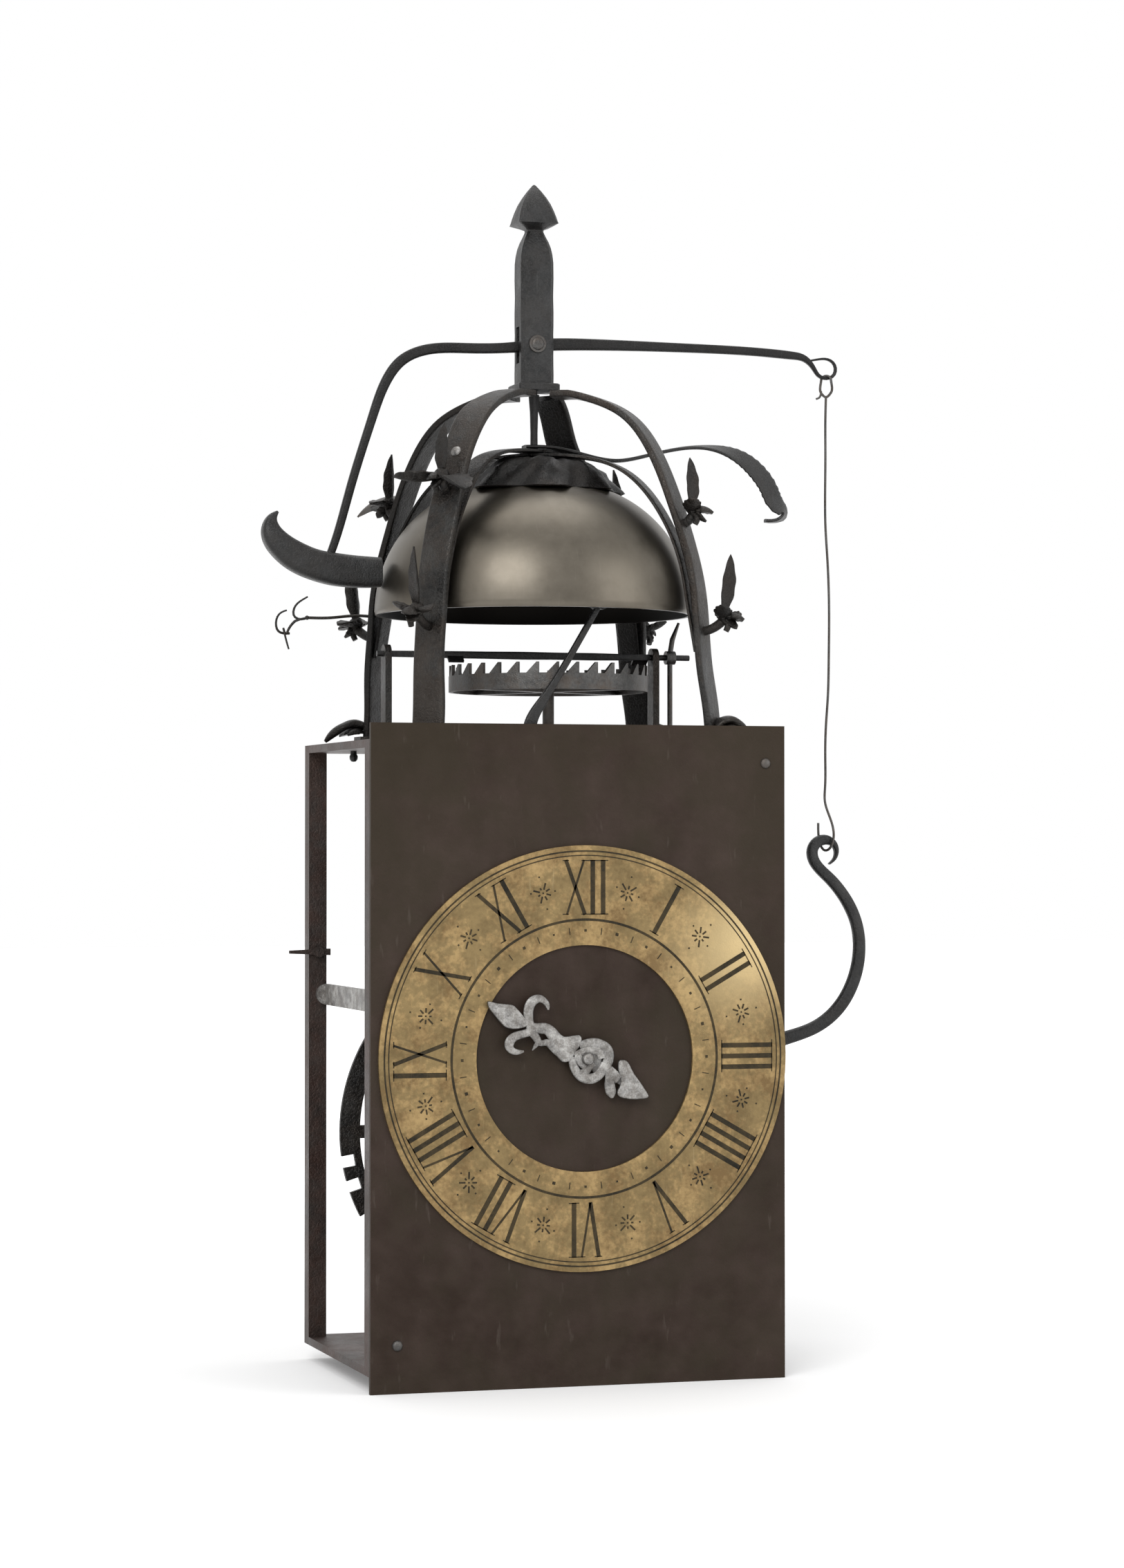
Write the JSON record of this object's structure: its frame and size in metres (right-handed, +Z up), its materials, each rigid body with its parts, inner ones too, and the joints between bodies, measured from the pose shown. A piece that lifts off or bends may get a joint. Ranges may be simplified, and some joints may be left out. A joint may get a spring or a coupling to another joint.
{
  "type": "weight-driven chamber clock movement",
  "caption": "Iron chamber clock: dark dial plate with brass hour ring and hand, open train behind, caged bell above and an outside hammer pulled by a wire.",
  "frame": {"origin": "middle of the dial plate's bottom edge, where the clock stands", "axes": "+Z up towards the bell and finial, +X to the right of the dial, +Y from the dial to the back"},
  "size_m": [0.2431, 0.122, 0.4524],
  "materials": {
    "wrought_iron": "satin",
    "dial_paint": "satin",
    "ring_brass": "satin",
    "worked_steel": "satin",
    "pulley_wood": "satin",
    "bell_bronze": "satin"
  },
  "bodies": {
    "frame": {"base_plate": "wrought_iron", "top_plate": "wrought_iron", "post_front_left": "wrought_iron", "post_front_right": "wrought_iron", "post_back_left": "wrought_iron", "post_back_right": "wrought_iron", "rear_feet": "wrought_iron", "side_straps": "wrought_iron", "front_bar": "wrought_iron", "middle_bar": "wrought_iron", "back_bar": "wrought_iron", "potence": "wrought_iron", "verge_cocks": "wrought_iron", "hammer_lugs": "wrought_iron", "leg_front_left": "wrought_iron", "leg_front_right": "wrought_iron", "leg_back_left": "wrought_iron", "leg_back_right": "wrought_iron", "spray_front_left": "wrought_iron", "spray_front_right": "wrought_iron", "spray_back_left": "wrought_iron", "spray_back_right": "wrought_iron", "bell_hoops": "wrought_iron", "wire_flower": "wrought_iron", "dial_rivets": "wrought_iron", "arched_leaf": "wrought_iron", "bell_stem": "wrought_iron", "dial_plate": "dial_paint", "chapter_ring": "ring_brass", "bell": "bell_bronze", "finial_post": "worked_steel", "lever_pin": "worked_steel"},
    "hour": {"hour_wheel": "worked_steel", "hour_hand": "worked_steel", "lift_pins": "worked_steel"},
    "going": {"going_arbor": "worked_steel", "going_great_wheel": "worked_steel", "going_pulley": "pulley_wood"},
    "second": {"second_arbor": "worked_steel", "second_wheel": "worked_steel"},
    "contrate": {"contrate_arbor": "worked_steel", "contrate_wheel": "worked_steel"},
    "crown": {"crown_arbor": "worked_steel", "crown_wheel": "worked_steel"},
    "verge": {"verge": "worked_steel", "pendulum": "worked_steel"},
    "strike": {"strike_arbor": "worked_steel", "strike_great_wheel": "worked_steel", "strike_pulley": "pulley_wood"},
    "locking": {"locking_arbor": "worked_steel", "locking_wheel": "worked_steel"},
    "fly": {"fly": "worked_steel"},
    "count": {"count_wheel": "wrought_iron"},
    "detent": {"count_detent": "worked_steel"},
    "let_off": {"let_off_lever": "worked_steel"},
    "pull_lever": {"pull_lever": "worked_steel"},
    "strike_lever": {"strike_lever": "worked_steel", "hammer_head": "worked_steel"},
    "pull_wire": {"pull_wire": "worked_steel"},
    "inner_hammer": {"inner_hammer": "worked_steel"}
  },
  "joints": [
    {"name": "hour_spin", "type": "hinge", "parent": "frame", "child": "hour", "pos_m": [0.0014, 0.007, 0.1207], "axis": [0, 1, 0], "continuous": true},
    {"name": "going_spin", "type": "hinge", "parent": "frame", "child": "going", "pos_m": [0.0014, 0.03, 0.062], "axis": [0, 1, 0], "continuous": true},
    {"name": "second_spin", "type": "hinge", "parent": "frame", "child": "second", "pos_m": [0.0014, 0.03, 0.10925], "axis": [0, 1, 0], "continuous": true},
    {"name": "contrate_spin", "type": "hinge", "parent": "frame", "child": "contrate", "pos_m": [0.0014, 0.03, 0.146], "axis": [0, 1, 0], "continuous": true},
    {"name": "crown_spin", "type": "hinge", "parent": "frame", "child": "crown", "pos_m": [0.0014, 0.0455, 0.215], "axis": [0, 0, 1], "continuous": true},
    {"name": "verge_swing", "type": "hinge", "parent": "frame", "child": "verge", "pos_m": [0, 0.0455, 0.2714], "axis": [1, 0, 0], "range_deg": [-8, 8]},
    {"name": "strike_spin", "type": "hinge", "parent": "frame", "child": "strike", "pos_m": [0.0014, 0.07, 0.0535], "axis": [0, 1, 0], "continuous": true},
    {"name": "locking_spin", "type": "hinge", "parent": "frame", "child": "locking", "pos_m": [0.0014, 0.07, 0.0967], "axis": [0, 1, 0], "continuous": true},
    {"name": "fly_spin", "type": "hinge", "parent": "frame", "child": "fly", "pos_m": [0.0014, 0.07, 0.1279], "axis": [0, 1, 0], "continuous": true},
    {"name": "count_spin", "type": "hinge", "parent": "frame", "child": "count", "pos_m": [0.0014, 0.09, 0.0885], "axis": [0, 1, 0], "continuous": true},
    {"name": "count_lift", "type": "hinge", "parent": "frame", "child": "detent", "pos_m": [0.0014, 0.09, 0.178], "axis": [0, -1, 0], "range_deg": [0, 12]},
    {"name": "let_off_lift", "type": "hinge", "parent": "frame", "child": "let_off", "pos_m": [0, 0.025, 0.1405], "axis": [1, 0, 0], "range_deg": [0, 8]},
    {"name": "pull_rock", "type": "hinge", "parent": "frame", "child": "pull_lever", "pos_m": [0.03, 0.07, 0.1195], "axis": [0, 1, 0], "range_deg": [0, 6.5]},
    {"name": "strike_rock", "type": "hinge", "parent": "frame", "child": "strike_lever", "pos_m": [-0.0028, 0.0515, 0.3906], "axis": [0, 1, 0], "range_deg": [0, 4.75]},
    {"name": "wire_swing", "type": "hinge", "parent": "strike_lever", "child": "pull_wire", "pos_m": [0.1166, 0.0515, 0.3865], "axis": [0, 1, 0], "range_deg": [-7.5, 0]},
    {"name": "inner_rock", "type": "hinge", "parent": "frame", "child": "inner_hammer", "pos_m": [-0.018, 0.005, 0.226], "axis": [1, 0, 0], "range_deg": [-1, 4]}
  ],
  "couplings": [
    {"joint": "hour_spin", "follows": "going_spin", "ratio": -0.083333},
    {"joint": "second_spin", "follows": "going_spin", "ratio": -8},
    {"joint": "contrate_spin", "follows": "going_spin", "ratio": 48},
    {"joint": "crown_spin", "follows": "going_spin", "ratio": 216},
    {"joint": "locking_spin", "follows": "strike_spin", "ratio": -8},
    {"joint": "fly_spin", "follows": "strike_spin", "ratio": 56},
    {"joint": "count_spin", "follows": "strike_spin", "ratio": -0.16667},
    {"joint": "strike_rock", "follows": "pull_rock", "ratio": 0.721},
    {"joint": "wire_swing", "follows": "pull_rock", "ratio": -1.146}
  ]
}
